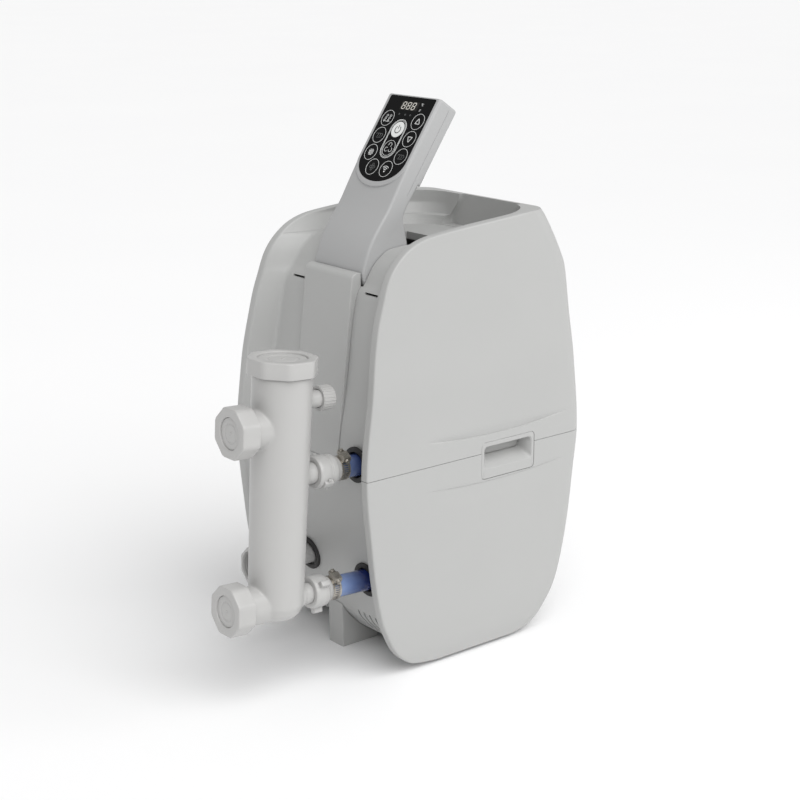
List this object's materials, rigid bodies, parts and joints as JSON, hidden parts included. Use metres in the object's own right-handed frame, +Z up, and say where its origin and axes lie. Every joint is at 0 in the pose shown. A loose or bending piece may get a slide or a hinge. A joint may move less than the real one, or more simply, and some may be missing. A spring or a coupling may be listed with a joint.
{
  "type": "salt chlorine generator",
  "caption": "Upright spa water control unit with a folding control stalk and an external vertical chlorinator cell pipe joined by two blue hoses.",
  "frame": {"origin": "on the floor, in the housing's plane of symmetry, under the middle of the whole depth", "axes": "+Z up; -Y towards the front, where the hoses and the cell pipe are; +X towards the cell pipe's side"},
  "size_m": [0.26, 0.5086, 0.6601],
  "materials": {
    "housing_grey": "fine satin moulding",
    "pipe_white": "smooth satin moulding",
    "black_rubber": "matt",
    "overlay_black": "glossy printed film",
    "smoked_window": "smoked glossy window",
    "clamp_steel": "stainless, brushed",
    "hose_blue": "translucent blue, glossy",
    "board_green": "solder mask",
    "motor_black": "matt moulded",
    "winding_copper": "varnished winding and core",
    "plate_titanium": "coated titanium plates",
    "blower_aluminium": "cast can"
  },
  "bodies": {
    "housing": {"upper_housing": "housing_grey", "lower_housing": "housing_grey", "front_column": "housing_grey", "front_foot": "housing_grey", "rubber_foot_front_left": "black_rubber", "rubber_foot_front_right": "black_rubber", "rubber_foot_rear_left": "black_rubber", "rubber_foot_rear_right": "black_rubber", "side_grip_left": "housing_grey", "side_grip_right": "housing_grey", "stalk_bracket": "motor_black", "cell_pipe": "pipe_white", "cell_cap_seal": "black_rubber", "upper_port_seal": "black_rubber", "lower_port_seal": "black_rubber", "electrode_stack": "plate_titanium", "upper_hose_tail": "pipe_white", "lower_hose_tail": "pipe_white", "upper_clamp_band": "clamp_steel", "lower_clamp_band": "clamp_steel", "upper_hose": "hose_blue", "lower_hose": "hose_blue", "upper_hose_grommet": "black_rubber", "lower_hose_grommet": "black_rubber", "return_grommet": "black_rubber", "return_pipe": "pipe_white", "cable_gland": "motor_black", "water_heater": "clamp_steel", "pump_volute": "motor_black", "pump_motor": "motor_black", "air_blower": "motor_black", "blower_motor": "blower_aluminium", "transformer": "winding_copper", "control_board": "board_green", "flow_switch": "pipe_white"},
    "stalk": {"stalk_shell": "housing_grey", "stalk_back_cover": "housing_grey", "control_overlay": "overlay_black", "display_window": "smoked_window", "panel_board": "board_green", "pivot_pin_left": "clamp_steel", "pivot_pin_right": "clamp_steel"},
    "cell_cap_disc": {"cell_cap_disc": "pipe_white"},
    "cell_cap_nut": {"cell_cap_nut": "pipe_white"},
    "upper_port_disc": {"upper_port_disc": "pipe_white"},
    "upper_port_nut": {"upper_port_nut": "pipe_white"},
    "lower_port_disc": {"lower_port_disc": "pipe_white"},
    "lower_port_nut": {"lower_port_nut": "pipe_white"},
    "bleed_washer": {"bleed_washer": "black_rubber"},
    "bleed_cap": {"bleed_cap": "pipe_white"},
    "upper_collar": {"upper_collar": "pipe_white"},
    "lower_collar": {"lower_collar": "pipe_white"},
    "return_nut": {"return_union_nut": "pipe_white"},
    "upper_clamp_screw": {"upper_clamp_screw": "clamp_steel"},
    "lower_clamp_screw": {"lower_clamp_screw": "clamp_steel"},
    "pump_shaft": {"pump_impeller_shaft": "clamp_steel"}
  },
  "joints": [
    {"name": "stalk_fold", "type": "hinge", "parent": "housing", "child": "stalk", "pos_m": [0, 0.00228, 0.47], "axis": [-1, 0, 0], "range_deg": [0, 32]},
    {"name": "cell_cap_lift", "type": "slide", "parent": "housing", "child": "cell_cap_disc", "axis": [0, 0.0576, 0.9983], "range_m": [0, 0.0061]},
    {"name": "cell_cap_turn", "type": "hinge", "parent": "cell_cap_disc", "child": "cell_cap_nut", "pos_m": [0.08, -0.16934, 0.38207], "axis": [0, 0.0576, 0.9983], "range_deg": [0, 720]},
    {"name": "upper_port_lift", "type": "slide", "parent": "housing", "child": "upper_port_disc", "axis": [0, -0.9983, 0.0576], "range_m": [0, 0.0061]},
    {"name": "upper_port_turn", "type": "hinge", "parent": "upper_port_disc", "child": "upper_port_nut", "pos_m": [0.08, -0.17273, 0.32316], "axis": [0, -0.9983, 0.0576], "range_deg": [0, 720]},
    {"name": "lower_port_lift", "type": "slide", "parent": "housing", "child": "lower_port_disc", "axis": [0, -0.9983, 0.0576], "range_m": [0, 0.0061]},
    {"name": "lower_port_turn", "type": "hinge", "parent": "lower_port_disc", "child": "lower_port_nut", "pos_m": [0.08, -0.18442, 0.1205], "axis": [0, -0.9983, 0.0576], "range_deg": [0, 720]},
    {"name": "bleed_lift", "type": "slide", "parent": "housing", "child": "bleed_washer", "axis": [0, 0.9983, -0.0576], "range_m": [0, 0.0061]},
    {"name": "bleed_turn", "type": "hinge", "parent": "bleed_washer", "child": "bleed_cap", "pos_m": [0.08, -0.17127, 0.34862], "axis": [0, 0.9983, -0.0576], "range_deg": [0, 720]},
    {"name": "upper_collar_turn", "type": "hinge", "parent": "housing", "child": "upper_collar", "pos_m": [0.08, -0.12627, 0.26038], "axis": [0, 0.9983, -0.0576], "range_deg": [0, 90]},
    {"name": "lower_collar_turn", "type": "hinge", "parent": "housing", "child": "lower_collar", "pos_m": [0.08, -0.1345, 0.11762], "axis": [0, 0.9983, -0.0576], "range_deg": [0, 90]},
    {"name": "return_nut_spin", "type": "hinge", "parent": "housing", "child": "return_nut", "pos_m": [-0.034, -0.12172, 0.1135], "axis": [0, -1, 0], "continuous": true},
    {"name": "upper_clamp_screw_turn", "type": "hinge", "parent": "housing", "child": "upper_clamp_screw", "pos_m": [0.0888, -0.09215, 0.27368], "axis": [-0.866, 0.0288, 0.4992], "continuous": true},
    {"name": "lower_clamp_screw_turn", "type": "hinge", "parent": "housing", "child": "lower_clamp_screw", "pos_m": [0.0888, -0.10637, 0.13127], "axis": [-0.866, 0.0288, 0.4992], "continuous": true},
    {"name": "pump_spin", "type": "hinge", "parent": "housing", "child": "pump_shaft", "pos_m": [0.075, 0.10828, 0.062], "axis": [1, 0, 0], "continuous": true}
  ],
  "couplings": [
    {"joint": "cell_cap_lift", "follows": "cell_cap_turn", "m_per_rad": 0.00047746},
    {"joint": "upper_port_lift", "follows": "upper_port_turn", "m_per_rad": 0.00047746},
    {"joint": "lower_port_lift", "follows": "lower_port_turn", "m_per_rad": 0.00047746},
    {"joint": "bleed_lift", "follows": "bleed_turn", "m_per_rad": 0.00047746}
  ]
}
